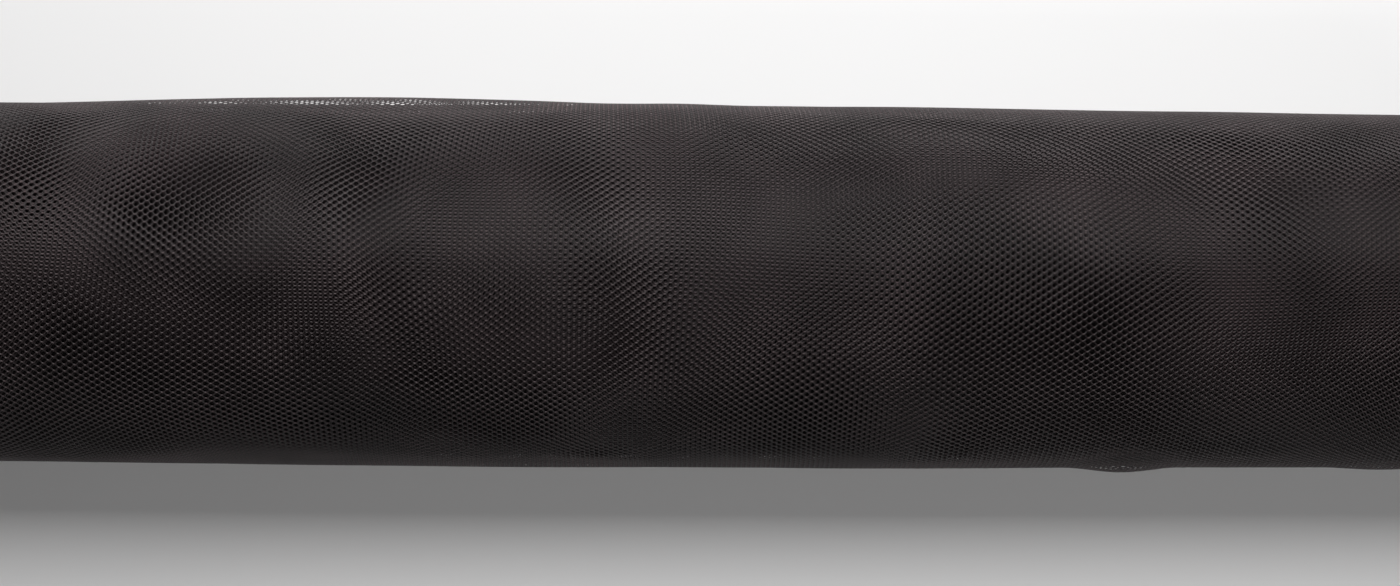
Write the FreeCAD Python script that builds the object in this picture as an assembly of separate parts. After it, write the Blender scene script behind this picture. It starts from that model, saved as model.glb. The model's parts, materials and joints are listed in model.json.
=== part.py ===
import FreeCAD, Part
import math
import os

# A roll of fine knitted netting, wound on a spiral paperboard core and lying on a table.
# Millimetres. X runs along the roll, +Z is up and -Y is the front. The origin is the
# centre of the core's bore. Angles run from the top (+Z) towards the rear (+Y).

# Core: a tube of glued plies, cut a little longer than the web is wide.
core_bore_radius = 19.0
inner_liner_thickness = 0.35
body_ply_thickness = 0.5
body_ply_count = 3
outer_liner_thickness = 0.25
glue_line = 0.1
core_projection = 3.0

# Web: one long strip of netting, 18 inches wide and 20 yards long.
web_width = 457.0
web_length = 18288.0
roll_radius = 44.7
turn_gap = 0.1

# The first turn is held to the core by strips of tape across its leading edge.
first_turn_angle = 350.0
tape_count = 3
tape_pitch = 150.0
tape_width = 48.0
tape_half_angle = 22.0
tape_thickness = 0.15

# The pack between the first and the last turn, as bands of wound turns.
inner_band_radius = 29.5
middle_band_radius = 37.5

# Free end: three lengths of the last turn, which fold about lines along X.
tail_start_angle = 10.0
tail_segment_angle = 30.0
tail_segment_count = 3
tail_clearance = 0.4
fold_gap = 0.6

# The soft roll settles on the table with a narrow flat.
rest_flat_width = 14.0

# Each side of the cutter for the free end's place, well outside the roll.
cutter_reach = 2.0 * roll_radius

core_length = web_width + 2.0 * core_projection
core_outer_radius = (core_bore_radius + inner_liner_thickness + outer_liner_thickness
                     + body_ply_count * body_ply_thickness
                     + (body_ply_count + 1) * glue_line)
wind_radius = core_outer_radius + turn_gap
turn_thickness = math.pi * (roll_radius ** 2 - wind_radius ** 2) / web_length
first_turn_radius = wind_radius + turn_thickness
tape_radius = first_turn_radius + turn_gap
pack_radius = tape_radius + tape_thickness + turn_gap
outer_band_radius = roll_radius - turn_thickness - turn_gap
tail_radius = outer_band_radius + tail_clearance
tail_end_angle = tail_start_angle + tail_segment_count * tail_segment_angle
fold_half_angle = math.degrees(0.5 * fold_gap / tail_radius)
table_height = -math.sqrt(roll_radius ** 2 - (0.5 * rest_flat_width) ** 2)


def point_at(radius, angle):
    """A point of the cross-section, at an angle from the top towards the rear."""
    turn = math.radians(angle)
    return FreeCAD.Vector(0.0, radius * math.sin(turn), radius * math.cos(turn))


def along_roll(wire, length, middle=0.0):
    """A solid with the wire as its cross-section, centred at a place along X."""
    solid = Part.Face(wire).extrude(FreeCAD.Vector(length, 0.0, 0.0))
    solid.translate(FreeCAD.Vector(middle - 0.5 * length, 0.0, 0.0))
    return solid


def arc(radius, start, end):
    """An arc of the cross-section from one angle to another."""
    middle = point_at(radius, 0.5 * (start + end))
    return Part.Arc(point_at(radius, start), middle, point_at(radius, end)).toShape()


def circle_wire(radius):
    """A full circle round the roll's axis."""
    along_x = FreeCAD.Vector(1.0, 0.0, 0.0)
    return Part.Wire([Part.Circle(FreeCAD.Vector(), along_x, radius).toShape()])


def settled_wire(radius, bottom):
    """A circle whose lowest part is a level line at the height bottom."""
    half_angle = math.degrees(math.acos(-bottom / radius))
    start = half_angle - 180.0
    end = 180.0 - half_angle
    flat = Part.LineSegment(point_at(radius, end), point_at(radius, start)).toShape()
    return Part.Wire([arc(radius, start, end), flat])


def sector_wire(inner, outer, start, end):
    """The outline of a curved strip between two radii and two angles."""
    near = Part.LineSegment(point_at(inner, start), point_at(outer, start)).toShape()
    far = Part.LineSegment(point_at(outer, end), point_at(inner, end)).toShape()
    return Part.Wire([near, arc(outer, start, end), far, arc(inner, end, start)])


def tube(inner, outer, length):
    """A round tube along X."""
    return along_roll(circle_wire(outer), length).cut(along_roll(circle_wire(inner), length))


def core_plies():
    """The core's paper layers, from the smooth inner liner to the outer liner."""
    layers = [("core_inner_liner", inner_liner_thickness)]
    for number in range(1, body_ply_count + 1):
        layers.append(("core_ply_%d" % number, body_ply_thickness))
    layers.append(("core_outer_liner", outer_liner_thickness))
    plies = {}
    inner = core_bore_radius
    for name, thickness in layers:
        plies[name] = tube(inner, inner + thickness, core_length)
        inner += thickness + glue_line
    return plies


def start_tapes():
    """The strips of tape over the web's leading edge, evenly spaced along the core."""
    tapes = {}
    outline = sector_wire(tape_radius, tape_radius + tape_thickness,
                          -tape_half_angle, tape_half_angle)
    for number in range(tape_count):
        middle = (number - 0.5 * (tape_count - 1)) * tape_pitch
        tapes["start_tape_%d" % (number + 1)] = along_roll(outline, tape_width, middle)
    return tapes


def first_turn():
    """The web's first turn on the core, from its leading edge at the top."""
    outline = sector_wire(wind_radius, first_turn_radius, 0.0, first_turn_angle)
    return along_roll(outline, web_width)


def outer_turns():
    """The outer band of turns, flattened where the roll rests."""
    bottom = table_height + turn_thickness + turn_gap
    band = along_roll(settled_wire(outer_band_radius, bottom), web_width)
    return band.cut(along_roll(circle_wire(middle_band_radius + turn_gap), web_width))


def last_turn():
    """The visible last turn, open at the rear where the free end lies instead."""
    inner_bottom = table_height + turn_thickness
    shell = along_roll(settled_wire(roll_radius, table_height), web_width)
    inside = settled_wire(roll_radius - turn_thickness, inner_bottom)
    shell = shell.cut(along_roll(inside, web_width))
    start = point_at(cutter_reach, tail_start_angle - fold_half_angle)
    end = point_at(cutter_reach, tail_end_angle + fold_half_angle)
    place = Part.makePolygon([FreeCAD.Vector(), start, start + end, end, FreeCAD.Vector()])
    return shell.cut(along_roll(place, core_length))


def tail_segments():
    """The free end's lengths, each a curved strip between two fold lines."""
    segments = {}
    for number in range(tail_segment_count):
        start = tail_start_angle + number * tail_segment_angle + fold_half_angle
        end = tail_start_angle + (number + 1) * tail_segment_angle - fold_half_angle
        outline = sector_wire(tail_radius, tail_radius + turn_thickness, start, end)
        segments["net_tail_%d" % (number + 1)] = along_roll(outline, web_width)
    return segments


nodes = core_plies()
nodes.update(start_tapes())
nodes["net_first_turn"] = first_turn()
nodes["net_inner_turns"] = tube(pack_radius, inner_band_radius, web_width)
nodes["net_middle_turns"] = tube(inner_band_radius + turn_gap, middle_band_radius, web_width)
nodes["net_outer_turns"] = outer_turns()
nodes["net_last_turn"] = last_turn()
nodes.update(tail_segments())

os.makedirs("parts", exist_ok=True)
for name, shape in nodes.items():
    shape.exportStep("parts/%s.step" % name)
    print("%-18s volume %10.1f mm3  solids %d  valid %s"
          % (name, shape.Volume, len(shape.Solids), shape.isValid()))

print("turns %.1f of %.4f mm, core outer radius %.2f, table at z %.3f"
      % ((roll_radius - wind_radius) / turn_thickness, turn_thickness,
         core_outer_radius, table_height))
for number in range(tail_segment_count):
    fold = point_at(tail_radius, tail_start_angle + number * tail_segment_angle)
    print("fold line %d at y %.4f z %.4f" % (number + 1, fold.y, fold.z))
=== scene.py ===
import json
import math

import bpy
import numpy as np
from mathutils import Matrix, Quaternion, Vector


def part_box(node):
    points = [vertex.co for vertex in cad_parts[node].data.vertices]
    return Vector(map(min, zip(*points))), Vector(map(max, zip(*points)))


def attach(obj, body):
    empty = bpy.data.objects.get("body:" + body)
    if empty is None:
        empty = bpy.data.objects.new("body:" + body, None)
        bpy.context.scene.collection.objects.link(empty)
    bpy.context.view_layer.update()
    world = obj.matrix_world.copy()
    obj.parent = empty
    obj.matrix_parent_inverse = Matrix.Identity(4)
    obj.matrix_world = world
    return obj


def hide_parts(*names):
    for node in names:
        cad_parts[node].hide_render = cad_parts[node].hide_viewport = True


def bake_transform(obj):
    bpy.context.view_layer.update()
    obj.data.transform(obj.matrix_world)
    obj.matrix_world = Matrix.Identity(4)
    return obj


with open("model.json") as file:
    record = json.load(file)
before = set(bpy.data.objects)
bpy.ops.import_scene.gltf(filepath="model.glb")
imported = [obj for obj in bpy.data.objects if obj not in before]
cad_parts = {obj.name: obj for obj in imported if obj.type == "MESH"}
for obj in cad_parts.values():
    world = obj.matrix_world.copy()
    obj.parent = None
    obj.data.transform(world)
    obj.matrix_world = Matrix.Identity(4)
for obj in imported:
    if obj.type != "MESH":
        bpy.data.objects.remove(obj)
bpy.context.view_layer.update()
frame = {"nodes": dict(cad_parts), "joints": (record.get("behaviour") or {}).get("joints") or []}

# A roll of fine black knitted netting on a paperboard core, on a pale studio table.
# Lengths are millimetres in the frame's own axes, and angles are degrees from the top
# (+Z) towards the rear (+Y), unless a name or a comment says otherwise.

MM = 0.001


def node_corner(node, side):
    """A node's lowest (side 0) or highest (side 1) corner, in millimetres."""
    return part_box(node)[side] / MM


# Places that the frame gives.
HALF_WEB = node_corner("net_last_turn", 1).x
TABLE = node_corner("net_last_turn", 0).z
FREE_RADIUS = node_corner("net_tail_3", 1).y
FOLDS = [math.degrees(math.atan2(j["pos_m"][1], j["pos_m"][2])) for j in frame["joints"]]
FOLD_STEP = FOLDS[1] - FOLDS[0]
FREE_ANGLE = FOLDS[2] + FOLD_STEP

# The mesh of the netting: hexagonal holes in a centred pattern, with two short sides
# along the roll, where the yarns are looped together, and four slanting sides.
CELL_ALONG = 2.40
CELL_AROUND = 1.78
CORNER_ALONG = 0.389 * CELL_ALONG
RIM_ALONG = 0.305 * CELL_ALONG
RIM_KNOT = 0.090 * CELL_ALONG
RIM_AROUND = 0.405 * CELL_AROUND

# A strand's ridge stands above the web and its rims lie below it, in millimetres. At the
# rims its round side is tilted towards the hole. The openness scales the holes of the last,
# the second and the third turn. The loop sides are the two looped ones of a hole's six. The
# netting's colour paints them lighter, a painted highlight where light glints along them.
STRAND_RISE = 0.12
STRAND_SINK = 0.07
RIM_TILT = 58.0
OPENNESS = (1.0, 0.90, 0.85)
LOOP_SIDES = (0.0, 1.0, 0.0, 0.0, 1.0, 0.0)

# The three outer turns are looser than the pack below them, and hang a little away from it
# at the lower front. The outlines are the angles where the camera sees the roll's edges.
LOOSE_TURNS = 3
LOOSE_PITCH = 0.34
WEB_RADIUS = FREE_RADIUS - 0.4
WEB_TURN = 2.0 * math.pi * WEB_RADIUS
BASE_SINK = 0.45
SAG = 0.6
SAG_REACH = 70.0
UPPER_OUTLINE = 65.0
LOWER_OUTLINE = -118.0
TURN_CHANGE = 0.16


def waves(seed, count, shortest, longest, size):
    """A smooth random surface over (along, around), as a sum of count long waves."""
    rng = np.random.default_rng(seed)
    lengths = rng.uniform(shortest, longest, count)
    headings = rng.uniform(0.0, math.pi, count)
    phases = rng.uniform(0.0, 2.0 * math.pi, count)
    sizes = size * lengths / longest * math.sqrt(2.0 / count)

    def height(u, v):
        total = np.zeros(np.broadcast(u, v).shape)
        for length, heading, phase, part in zip(lengths, headings, phases, sizes):
            across = u * math.cos(heading) + v * math.sin(heading)
            total = total + part * np.sin(2.0 * math.pi * across / length + phase)
        return total

    return height


def bump(value, middle, half_width):
    """1 at the middle, falling smoothly to 0 at half_width on each side."""
    t = np.clip(np.abs(value - middle) / half_width, 0.0, 1.0)
    return (1.0 + np.cos(math.pi * t)) / 2.0


# How the web is strained as it lies: a skew and a slow uneven stretch that all turns share.
# Each turn then nests in the holes of the one below, so it lies a part of a cell aside,
# and slips a little.
SKEW = 0.020
STRETCH_ALONG = waves(11, 9, 70.0, 220.0, 1.6)
STRETCH_AROUND = waves(21, 9, 70.0, 220.0, 1.6)
NEST_ALONG = (0.0, 0.5, 0.25)
NEST_AROUND = (0.0, 0.0, 0.25)
SLIP_ALONG = [waves(51 + n, 8, 60.0, 180.0, 0.45) for n in range(LOOSE_TURNS)]
SLIP_AROUND = [waves(61 + n, 8, 60.0, 180.0, 0.35) for n in range(LOOSE_TURNS)]
SLACK = [waves(31 + n, 10, 35.0, 140.0, 0.15 - 0.04 * n) for n in range(LOOSE_TURNS)]


def smooth_step(t):
    """0 up to t = 0 and 1 from t = 1, with a soft change between."""
    t = np.clip(t, 0.0, 1.0)
    return t * t * (3.0 - 2.0 * t)


def turn_mix(around):
    """0 on the last turn, 1 on the next one in and 2 on the third, with soft changes."""
    turns = around / WEB_TURN
    return sum(smooth_step((turns - n) / TURN_CHANGE + 0.5) for n in (1, 2))


def per_turn(around, values):
    """The values of the three turns, mixed by where the web is."""
    mix = turn_mix(around)
    return sum(value * np.clip(1.0 - np.abs(mix - n), 0.0, 1.0)
               for n, value in enumerate(values))


def strained(along, around):
    """Where a point of the flat web lies on the roll, as distances along and around it."""
    shift_along, shift_around = [], []
    for n in range(LOOSE_TURNS):
        start = n * WEB_TURN
        spare = start - CELL_AROUND * round(start / CELL_AROUND)
        shift_along.append(STRETCH_ALONG(along, around - start) + SLIP_ALONG[n](along, around)
                           + NEST_ALONG[n] * CELL_ALONG)
        shift_around.append(STRETCH_AROUND(along, around - start) + SLIP_AROUND[n](along, around)
                            + NEST_AROUND[n] * CELL_AROUND + spare)
    return (along + per_turn(around, shift_along),
            around + SKEW * along + per_turn(around, shift_around))


def girth(u):
    """How much thicker or thinner the roll is than its mean, along its length."""
    places = (-240.0, -175.0, -150.0, -125.0, -75.0, -25.0, 25.0, 60.0, 112.0, 150.0, 240.0)
    sizes = (-0.75, -0.70, -0.45, -0.15, 0.05, 0.30, 0.50, 0.30, 0.10, -0.05, -0.35)
    return np.mean([np.interp(u + step, places, sizes) for step in range(-20, 21, 8)], axis=0)


def looseness(u, angle):
    """How far the last turn stands off its wound radius, beside its slack: a little
    everywhere, more in two places at the upper rear, where light shines through it, and in
    two small lumps at the lower front."""
    lift = 0.06 + 1.6 * bump(u, -88.0, 75.0) ** 0.6 * bump(angle, UPPER_OUTLINE, 30.0)
    lift += 0.5 * bump(u, -8.0, 22.0) * bump(angle, UPPER_OUTLINE, 30.0)
    lift += 1.2 * bump(u, 106.0, 15.0) * bump(angle, LOWER_OUTLINE, 34.0)
    lift += 0.6 * bump(u, 172.0, 16.0) * bump(angle, LOWER_OUTLINE, 34.0)
    return lift


def on_roll(u, v, height):
    """Points in the frame's axes, from distances on the roll and a height over the web."""
    turns = v / WEB_TURN
    angle = FREE_ANGLE - 360.0 * turns
    slack = [np.maximum(part(u, v), -0.05) for part in SLACK]
    slack[0] = slack[0] + looseness(u, angle)
    sag = SAG * bump((angle + 180.0) % 360.0 - 180.0, LOWER_OUTLINE, SAG_REACH)
    radius = (FREE_RADIUS - BASE_SINK - LOOSE_PITCH * turns + girth(u) + sag
              + per_turn(v, slack) + height - STRAND_RISE)
    y = radius * np.sin(np.radians(angle))
    z = radius * np.cos(np.radians(angle))
    floor = TABLE + STRAND_RISE - height + LOOSE_PITCH * np.round(turn_mix(v))
    return np.stack([u, y, np.maximum(z, floor)], axis=-1)


def mesh_piece(name, points, faces):
    """A new mesh object from points in millimetres and faces of one size."""
    mesh = bpy.data.meshes.new(name)
    sides = faces.shape[1]
    mesh.vertices.add(len(points))
    mesh.vertices.foreach_set("co", (points * MM).astype(np.float32).ravel())
    mesh.loops.add(faces.size)
    mesh.loops.foreach_set("vertex_index", faces.astype(np.int32).ravel())
    mesh.polygons.add(len(faces))
    mesh.polygons.foreach_set("loop_start", np.arange(0, faces.size, sides, dtype=np.int32))
    mesh.polygons.foreach_set("use_smooth", np.full(len(faces), True))
    mesh.update(calc_edges=True)
    piece = bpy.data.objects.new(name, mesh)
    bpy.context.scene.collection.objects.link(piece)
    return piece


def knit(first_angle, last_angle, openness):
    """Every hole of the web between two angles from the free edge: its six corners, shared
    with its neighbours, its six rim points, and the place of its middle. The openness scales
    the holes."""
    row_step = 0.5 * CELL_AROUND
    margin = 16
    first = int(math.radians(first_angle) * WEB_RADIUS / row_step) - margin
    last = int(math.radians(last_angle) * WEB_RADIUS / row_step) + margin
    side = int(HALF_WEB / CELL_ALONG) + 3
    rows = np.arange(first, last + 1)
    columns = np.arange(-side, side + 1)
    j, i = np.meshgrid(rows, columns, indexing="ij")
    middle = (i + 0.5 * (j % 2)) * CELL_ALONG

    corner_u = np.stack([middle - CORNER_ALONG, middle + CORNER_ALONG], axis=-1)
    corner_v = np.repeat((j * row_step)[..., None], 2, axis=-1)

    def corner(row, column, right):
        return ((row - first) * len(columns) + (column + side)) * 2 + right

    inside = (j > first) & (j < last) & (i > -side) & (i < side)
    j, i, middle = j[inside], i[inside], middle[inside]
    shift = j % 2
    ring = np.stack([
        corner(j, i, 1), corner(j + 1, i + shift, 0), corner(j + 1, i + shift - 1, 1),
        corner(j, i, 0), corner(j - 1, i + shift - 1, 1), corner(j - 1, i + shift, 0),
    ], axis=-1)
    rim_u = np.array([RIM_ALONG, RIM_KNOT, -RIM_KNOT, -RIM_ALONG, -RIM_KNOT, RIM_KNOT])
    rim_v = np.array([0.0, RIM_AROUND, RIM_AROUND, 0.0, -RIM_AROUND, -RIM_AROUND])
    u, v = strained(middle, j * row_step)
    return {
        "corners": (corner_u.ravel(), corner_v.ravel()), "ring": ring,
        "rims": (middle[:, None] + openness * rim_u, (j * row_step)[:, None] + openness * rim_v),
        "middle": (u, v), "openness": openness,
    }


def unit(vectors):
    """The vectors, made one long."""
    return vectors / np.maximum(np.linalg.norm(vectors, axis=-1, keepdims=True), 1e-9)


def strand_normals(points, faces, corners):
    """The direction that each point of the web faces. The first points, the corners, lie on
    top of the strands. The rest are the rims of the holes, where a round strand turns away."""
    a, b, c, d = (points[faces[:, k]] for k in range(4))
    across = np.cross(c - a, d - b)
    total = np.zeros_like(points)
    for k in range(4):
        for axis in range(3):
            total[:, axis] += np.bincount(faces[:, k], across[:, axis], len(points))
    normals = unit(total)
    middles = points[corners:].reshape(-1, 6, 3).mean(axis=1)
    inward = np.repeat(middles, 6, axis=0) - points[corners:]
    outward = unit(total[:corners])[faces[:, 0]]
    facing = np.zeros_like(normals)
    np.add.at(facing, faces[:, 1], outward)
    facing = unit(facing[corners:])
    inward = unit(inward - facing * np.sum(inward * facing, axis=1, keepdims=True))
    tilt = math.radians(RIM_TILT)
    normals[corners:] = math.cos(tilt) * facing + math.sin(tilt) * inward
    return normals


def net_piece(name, web, first_angle, last_angle):
    """One length of the web, with its real holes, between two angles from the free edge."""
    u, v = web["middle"]
    angle = np.degrees(v / WEB_RADIUS)
    seam = 2.0 * math.degrees(CELL_AROUND / WEB_RADIUS)
    near = ((angle >= first_angle - seam) & (angle < last_angle + seam)
            & (np.abs(u) < HALF_WEB - 1.0))
    used, ring = np.unique(web["ring"][near], return_inverse=True)
    ring = ring.reshape(-1, 6)
    corner_u, corner_v = strained(web["corners"][0][used], web["corners"][1][used])
    rim_u, rim_v = strained(web["rims"][0][near].ravel(), web["rims"][1][near].ravel())
    corners = on_roll(corner_u, corner_v, STRAND_RISE)
    rims = on_roll(rim_u, rim_v, -STRAND_SINK)
    points = np.concatenate([corners, rims])
    rim = len(corners) + np.arange(len(rims)).reshape(-1, 6)
    after = np.roll(np.arange(6), -1)
    faces = np.stack([ring, rim, rim[:, after], ring[:, after]], axis=-1)
    normals = strand_normals(points, faces.reshape(-1, 4), len(corners))

    inside = (angle[near] >= first_angle) & (angle[near] < last_angle)
    kept, faces = np.unique(faces[inside], return_inverse=True)
    faces = faces.reshape(-1, 4)
    piece = mesh_piece(name, points[kept], faces)
    piece.data.normals_split_custom_set_from_vertices(normals[kept])
    loops = piece.data.attributes.new("loop", "FLOAT", "FACE")
    loops.data.foreach_set("value", np.tile(LOOP_SIDES, len(faces) // 6).astype(np.float32))
    length = math.radians(last_angle - first_angle) * WEB_RADIUS
    hole = 2.0 * RIM_AROUND * (RIM_ALONG + RIM_KNOT) * web["openness"] ** 2
    cover = 1.0 - hole / (0.5 * CELL_ALONG * CELL_AROUND)
    flat = (2.0 * HALF_WEB * MM, length * MM)
    return piece, flat, cover * flat[0] * flat[1]


# ---------------------------------------------------------------- materials

def new_material(name):
    """An empty node material, with its principled shader."""
    material = bpy.data.materials.new(name)
    material.use_nodes = True
    nodes = material.node_tree.nodes
    nodes.clear()
    output = nodes.new("ShaderNodeOutputMaterial")
    shader = nodes.new("ShaderNodeBsdfPrincipled")
    material.node_tree.links.new(shader.outputs[0], output.inputs["Surface"])
    return material, material.node_tree, shader


def node(tree, kind, **inputs):
    """A new node, with some of its inputs set by name."""
    made = tree.nodes.new(kind)
    for name, value in inputs.items():
        made.inputs[name.replace("_", " ")].default_value = value
    return made


def noise(tree, coordinates, scale, detail=3.0, roughness=0.55):
    """A noise texture in the object's own metres."""
    made = node(tree, "ShaderNodeTexNoise", Scale=scale, Detail=detail, Roughness=roughness)
    tree.links.new(coordinates, made.inputs["Vector"])
    return made.outputs["Fac"]


def ramp(tree, value, *stops):
    """A colour ramp from (place, colour) stops."""
    made = tree.nodes.new("ShaderNodeValToRGB")
    elements = made.color_ramp.elements
    while len(elements) < len(stops):
        elements.new(0.5)
    for element, (place, colour) in zip(elements, stops):
        element.position = place
        element.color = (*colour, 1.0)
    tree.links.new(value, made.inputs["Fac"])
    return made.outputs["Color"]


def netting_material(name, depth):
    """Black spun yarn: warm near-black, with fine fibre noise and a soft shine. The looped
    sides of the holes are painted lighter, a painted highlight where light glints on them.
    Turns that lie deeper in the roll have painted shade: a darker colour and a weaker shine,
    for the light that the turns above them hold back."""
    material, tree, shader = new_material(name)
    place = tree.nodes.new("ShaderNodeTexCoord").outputs["Object"]
    fibre = noise(tree, place, 5200.0, 2.0)
    patches = noise(tree, place, 38.0, 2.0)
    mixed = node(tree, "ShaderNodeMath")
    mixed.operation = "MULTIPLY"
    tree.links.new(fibre, mixed.inputs[0])
    tree.links.new(patches, mixed.inputs[1])
    # Painted shade: deeper turns get a darker colour and a weaker shine.
    shade = YARN_DEPTH_PAINTED_SHADE[depth]
    dark, light = ([shade * part for part in colour] for colour in (YARN_DARK, YARN_LIGHT))
    colour = ramp(tree, mixed.outputs[0], (0.12, dark), (0.45, light))
    # Painted highlight: the looped sides get a lighter colour and the slanting sides a darker
    # one, standing in for light glinting on the looped sides.
    loop = tree.nodes.new("ShaderNodeAttribute")
    loop.attribute_name = "loop"
    loop_highlight = tree.nodes.new("ShaderNodeMapRange")
    loop_highlight.inputs["To Min"].default_value = STRAND_PAINTED_SHADE
    loop_highlight.inputs["To Max"].default_value = LOOP_PAINTED_HIGHLIGHT
    tree.links.new(loop.outputs["Fac"], loop_highlight.inputs["Value"])
    scaled = tree.nodes.new("ShaderNodeVectorMath")
    scaled.operation = "SCALE"
    tree.links.new(colour, scaled.inputs[0])
    tree.links.new(loop_highlight.outputs["Result"], scaled.inputs["Scale"])
    tree.links.new(scaled.outputs[0], shader.inputs["Base Color"])
    shader.inputs["Roughness"].default_value = 0.38
    shader.inputs["Specular IOR Level"].default_value = 0.34 * shade
    return material


def pack_material():
    """The turns deep in the roll: the same yarn with painted shade, far darker on the round
    side because little light gets in under the outer turns, with a fine uneven grain. The end
    faces show the cut edges of the turns as fine uneven circles."""
    material, tree, shader = new_material("wound_netting")
    coordinates = tree.nodes.new("ShaderNodeTexCoord")
    place = coordinates.outputs["Object"]
    grain = noise(tree, place, 900.0, 4.0)
    # Painted shade: the round side is much darker than the yarn, for the shade under the outer
    # turns.
    side = ramp(tree, grain, (0.3, (0.003, 0.0026, 0.0026)), (0.75, (0.010, 0.0085, 0.0088)))
    split = tree.nodes.new("ShaderNodeSeparateXYZ")
    tree.links.new(place, split.inputs[0])
    across = tree.nodes.new("ShaderNodeCombineXYZ")
    tree.links.new(split.outputs["Y"], across.inputs["X"])
    tree.links.new(split.outputs["Z"], across.inputs["Y"])
    radius = tree.nodes.new("ShaderNodeVectorMath")
    radius.operation = "LENGTH"
    tree.links.new(across.outputs[0], radius.inputs[0])
    spread = tree.nodes.new("ShaderNodeVectorMath")
    spread.operation = "SCALE"
    spread.inputs["Scale"].default_value = 0.04
    tree.links.new(across.outputs[0], spread.inputs[0])
    circles = tree.nodes.new("ShaderNodeCombineXYZ")
    tree.links.new(radius.outputs["Value"], circles.inputs["Z"])
    where = tree.nodes.new("ShaderNodeVectorMath")
    tree.links.new(spread.outputs[0], where.inputs[0])
    tree.links.new(circles.outputs[0], where.inputs[1])
    edges = ramp(tree, noise(tree, where.outputs[0], 1500.0, 3.0, 0.7),
                 (0.35, (0.006, 0.005, 0.005)), (0.68, (0.085, 0.070, 0.073)))
    facing = tree.nodes.new("ShaderNodeSeparateXYZ")
    tree.links.new(coordinates.outputs["Normal"], facing.inputs[0])
    end = tree.nodes.new("ShaderNodeMath")
    end.operation = "ABSOLUTE"
    tree.links.new(facing.outputs["X"], end.inputs[0])
    blend = tree.nodes.new("ShaderNodeMix")
    blend.data_type = "RGBA"
    tree.links.new(end.outputs[0], blend.inputs["Factor"])
    tree.links.new(side, blend.inputs["A"])
    tree.links.new(edges, blend.inputs["B"])
    tree.links.new(blend.outputs["Result"], shader.inputs["Base Color"])
    shader.inputs["Roughness"].default_value = 0.8
    shader.inputs["Specular IOR Level"].default_value = 0.2
    return material


def kraft_material(name, dark, light):
    """Brown paperboard with pulp fibres and blotches."""
    material, tree, shader = new_material(name)
    place = tree.nodes.new("ShaderNodeTexCoord").outputs["Object"]
    pulp = noise(tree, place, 700.0, 6.0, 0.7)
    colour = ramp(tree, pulp, (0.3, dark), (0.7, light))
    tree.links.new(colour, shader.inputs["Base Color"])
    bumps = node(tree, "ShaderNodeBump", Strength=0.25, Distance=0.0002)
    tree.links.new(pulp, bumps.inputs["Height"])
    tree.links.new(bumps.outputs[0], shader.inputs["Normal"])
    shader.inputs["Roughness"].default_value = 0.75
    return material


def tape_material():
    """Glossy, slightly yellow tape."""
    material, tree, shader = new_material("clear_tape")
    place = tree.nodes.new("ShaderNodeTexCoord").outputs["Object"]
    colour = ramp(tree, noise(tree, place, 300.0), (0.3, (0.70, 0.61, 0.41)),
                  (0.7, (0.77, 0.68, 0.47)))
    tree.links.new(colour, shader.inputs["Base Color"])
    shader.inputs["Roughness"].default_value = 0.15
    return material


YARN_DARK = (0.0245, 0.0180, 0.0190)
YARN_LIGHT = (0.0680, 0.0500, 0.0525)
# Painted shade: colour scales of the last, second and third turn. The deeper turns are darker
# because less light reaches them, not because their yarn is.
YARN_DEPTH_PAINTED_SHADE = (1.0, 0.8, 0.5)
# Painted highlight and shade: colour factors for the slanting sides and the looped sides of each
# hole.
STRAND_PAINTED_SHADE = 0.68
LOOP_PAINTED_HIGHLIGHT = 2.1
NETTING = [netting_material("black_netting_%d" % (n + 1), n) for n in range(LOOSE_TURNS)]
PACK = pack_material()
BOARD = kraft_material("kraft_board", (0.20, 0.13, 0.075), (0.36, 0.25, 0.15))
LINER = kraft_material("kraft_liner", (0.27, 0.18, 0.10), (0.42, 0.30, 0.19))
TAPE = tape_material()


# ---------------------------------------------------------------- the web

def finish_net(piece, depth=0):
    """Netting material, in the piece's material slot."""
    piece.data.materials.append(NETTING[depth])


HALF_FOLD = 0.5 * FOLD_STEP
LAST_WEB = knit(0.0, 360.0, OPENNESS[0])

# The free end and the top of the last turn bend across the fold lines.
TAIL_STARTS = [FREE_ANGLE - FOLDS[0] - HALF_FOLD, FREE_ANGLE - FOLDS[1] - HALF_FOLD, 0.0]
TAIL_ENDS = [FREE_ANGLE - FOLDS[0] + 3.0 * HALF_FOLD, TAIL_STARTS[0], TAIL_STARTS[1]]
for n in range(len(FOLDS)):
    piece, flat, area = net_piece("net_tail_%d" % (n + 1), LAST_WEB, TAIL_STARTS[n], TAIL_ENDS[n])
    finish_net(piece)
    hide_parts("net_tail_%d" % (n + 1))
    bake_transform(piece)

LAST_NAMES = ("front", "under", "rear")
LAST_SPLITS = np.linspace(TAIL_ENDS[0], 360.0, len(LAST_NAMES) + 1)
for n, name in enumerate(LAST_NAMES):
    piece, flat, area = net_piece("net_last_turn_" + name, LAST_WEB,
                                  LAST_SPLITS[n], LAST_SPLITS[n + 1])
    finish_net(piece)
    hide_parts("net_last_turn")
    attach(piece, "roll")

# The two turns below it show through its holes. Each is made in five lengths.
LENGTHS = range(1, 6)
SECOND = ["net_turn_second_%d" % n for n in LENGTHS]
THIRD = ["net_turn_third_%d" % n for n in LENGTHS]
for turn, names, below in ((1, SECOND, THIRD), (2, THIRD, ["net_outer_turns"] * len(LENGTHS))):
    web = knit(360.0 * turn, 360.0 * (turn + 1), OPENNESS[turn])
    splits = np.linspace(360.0 * turn, 360.0 * (turn + 1), len(LENGTHS) + 1)
    for n, name in enumerate(names):
        piece, flat, area = net_piece(name, web, splits[n], splits[n + 1])
        finish_net(piece, turn)
        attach(piece, "roll")


# ---------------------------------------------------------------- the pack

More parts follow.
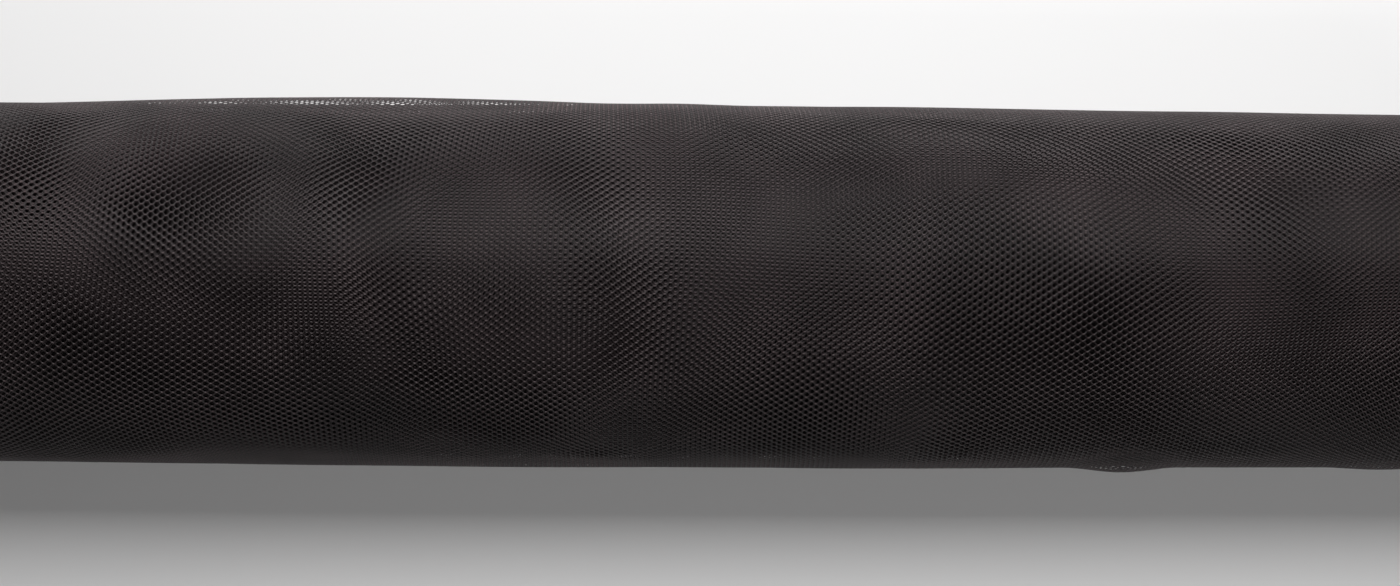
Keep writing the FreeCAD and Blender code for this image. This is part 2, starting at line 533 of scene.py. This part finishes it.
EDGE_RAGGED = waves(41, 12, 3.0, 40.0, 0.35)
EDGE_INSET = 0.9
GROOVE_DEPTH = 0.45
BAND_GAP = 0.1
OUTER_GAP = 1.2
START_GAP = 0.35
PACK_HEIGHT = (LOOSE_TURNS + 0.6) * LOOSE_PITCH


def wound_band(name, inner, outer, turns):
    """A closed ring of wound turns, with the web's edges as ridges on both end faces, ragged
    mostly from turn to turn. It stands for the CAD node of the same name, and is flattened
    below so that its outermost turn stays above the table by the pack's height."""
    radii = np.linspace(inner, outer, 2 * turns + 1)
    groove = (np.arange(len(radii)) % 2 == 0).astype(float)
    angles = np.radians(np.arange(0.0, 360.0, 2.0))
    r, a = np.meshgrid(radii, angles)
    around = r * a
    ragged = EDGE_RAGGED(7.0 * r, 0.3 * around) * (1.0 - groove)
    reach = HALF_WEB - EDGE_INSET - GROOVE_DEPTH * groove + ragged

    def lay(x):
        y, z = r * np.sin(a), r * np.cos(a)
        z = np.maximum(z, TABLE + PACK_HEIGHT + (outer - r))
        return np.stack([x, y, z], axis=-1)

    right, left = lay(reach), lay(-reach)[:, ::-1]
    profile = np.concatenate([right, left], axis=1)
    columns, size = profile.shape[:2]
    c, k = np.meshgrid(np.arange(columns), np.arange(size), indexing="ij")
    c2, k2 = (c + 1) % columns, (k + 1) % size
    faces = np.stack([c * size + k, c * size + k2, c2 * size + k2, c2 * size + k], axis=-1)
    piece = mesh_piece(name, profile.reshape(-1, 3), faces.reshape(-1, 4))
    piece.data.materials.append(PACK)
    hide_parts(name)
    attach(piece, "roll")


PACK_RADIUS = FREE_RADIUS - LOOSE_TURNS * LOOSE_PITCH - BASE_SINK - OUTER_GAP
MIDDLE_RADIUS = node_corner("net_middle_turns", 1).y
INNER_RADIUS = node_corner("net_inner_turns", 1).y
START_RADIUS = node_corner("net_first_turn", 1).y + START_GAP
wound_band("net_outer_turns", MIDDLE_RADIUS + BAND_GAP, PACK_RADIUS, 24)
wound_band("net_middle_turns", INNER_RADIUS + BAND_GAP, MIDDLE_RADIUS, 30)
wound_band("net_inner_turns", START_RADIUS, INNER_RADIUS, 28)


# ---------------------------------------------------------------- core and tape

def paint(node_name, material):
    """A CAD node that stays gets a better material."""
    for slot in frame["nodes"][node_name].material_slots:
        slot.material = material


for name in frame["nodes"]:
    if name.startswith("core_ply"):
        paint(name, BOARD)
    if name.endswith("liner"):
        paint(name, LINER)
    if name.startswith("start_tape"):
        paint(name, TAPE)
    if name == "net_first_turn":
        paint(name, PACK)


# ---------------------------------------------------------------- table, light and camera

TABLE_REACH = 8000.0
GLOW_START, GLOW_FULL = 0.4, 1.5


def studio_surface():
    """A pale table. Between two distances from the roll, in metres, it begins to glow until
    it is nearly as pale as the background, because the lamps' light fades out there."""
    places = (-TABLE_REACH, TABLE_REACH)
    points = [(x, y, TABLE) for y in places for x in places]
    piece = mesh_piece("studio_table", np.array(points), np.array([[0, 1, 3, 2]]))
    material, tree, shader = new_material("pale_table")
    place = tree.nodes.new("ShaderNodeTexCoord").outputs["Object"]
    shade = ramp(tree, noise(tree, place, 6.0), (0.3, (0.85, 0.845, 0.845)),
                 (0.7, (0.86, 0.855, 0.855)))
    tree.links.new(shade, shader.inputs["Base Color"])
    shader.inputs["Roughness"].default_value = 0.6
    far = tree.nodes.new("ShaderNodeVectorMath")
    far.operation = "LENGTH"
    tree.links.new(place, far.inputs[0])
    span = tree.nodes.new("ShaderNodeMapRange")
    span.inputs["From Min"].default_value = GLOW_START
    span.inputs["From Max"].default_value = GLOW_FULL
    tree.links.new(far.outputs["Value"], span.inputs["Value"])
    glow = ramp(tree, span.outputs["Result"], (0.0, (0.0, 0.0, 0.0)), (1.0, (0.88, 0.88, 0.88)))
    tree.links.new(glow, shader.inputs["Emission Color"])
    shader.inputs["Emission Strength"].default_value = 1.0
    material.cycles.emission_sampling = "NONE"
    piece.data.materials.append(material)
    for name, state in (("table_only", "INCLUDE"), ("all_but_table", "EXCLUDE")):
        group = bpy.data.collections.new(name)
        group.objects.link(piece)
        group.collection_objects[0].light_linking.link_state = state


LIGHT_DISTANCE = 0.85


def area_light(name, elevation, along, size, power, receivers=None):
    """A soft rectangular light that faces the roll. Its elevation is in degrees from the
    front horizon over the top, its size in metres and its power in watts. Receivers names
    a collection that limits what the light falls on."""
    light = bpy.data.lights.new(name, "AREA")
    light.shape = "RECTANGLE"
    light.size, light.size_y = size
    light.energy = power
    made = bpy.data.objects.new(name, light)
    turn = math.radians(elevation)
    made.location = (along, -LIGHT_DISTANCE * math.cos(turn), LIGHT_DISTANCE * math.sin(turn))
    made.rotation_euler = (0.5 * math.pi - turn, 0.0, 0.0)
    if receivers:
        made.light_linking.receiver_collection = bpy.data.collections[receivers]
    bpy.context.scene.collection.objects.link(made)


def studio_light():
    """Two lamps over the roll that skip the table, a rear strip for both, three lamps for the
    table alone and a plain pale background that casts no light."""
    world = bpy.data.worlds.new("pale_background")
    bpy.context.scene.world = world
    world.use_nodes = True
    background = world.node_tree.nodes["Background"]
    background.inputs["Color"].default_value = (0.9, 0.9, 0.905, 1.0)
    background.inputs["Strength"].default_value = 1.0
    world.cycles_visibility.diffuse = False
    world.cycles_visibility.glossy = False
    area_light("overhead_softbox", 102.0, 0.03, (0.5, 0.55), 4.6, "all_but_table")
    area_light("top_strip", 89.0, 0.0, (0.4, 0.14), 2.0, "all_but_table")
    area_light("rear_strip", 160.0, -0.06, (1.2, 0.2), 4.0)
    area_light("table_key", 102.0, 0.1, (0.5, 0.55), 5.0, "table_only")
    area_light("table_fill", 40.0, 0.15, (0.9, 0.2), 2.8, "table_only")
    area_light("backdrop_fill", 140.0, 0.0, (0.9, 0.2), 2.8, "table_only")


CAMERA_ELEVATION = 62.0
CAMERA_AZIMUTH = -6.7
CAMERA_TILT = 6.3
AIM_BELOW = 1.85
SEEN_WIDTH = 350.0
LENS = 70.0
SENSOR = 36.0


def studio_camera():
    """A steep view of the roll from above its front, with both ends out of view."""
    camera = bpy.data.cameras.new("camera")
    camera.lens = LENS
    camera.sensor_width = SENSOR
    made = bpy.data.objects.new("camera", camera)
    a, e = math.radians(CAMERA_AZIMUTH), math.radians(CAMERA_ELEVATION)
    back = Vector((math.sin(a) * math.cos(e), -math.cos(a) * math.cos(e), math.sin(e)))
    distance = SEEN_WIDTH * MM * LENS / SENSOR
    made.rotation_mode = "QUATERNION"
    facing = (-back).to_track_quat("-Z", "Y")
    made.rotation_quaternion = facing @ Quaternion((0.0, 0.0, 1.0), math.radians(CAMERA_TILT))
    up = made.rotation_quaternion @ Vector((0.0, 1.0, 0.0))
    made.location = back * distance - up * AIM_BELOW * MM
    bpy.context.scene.collection.objects.link(made)
    bpy.context.scene.camera = made


studio_surface()
studio_light()
studio_camera()
bpy.context.scene.view_settings.view_transform = "Standard"
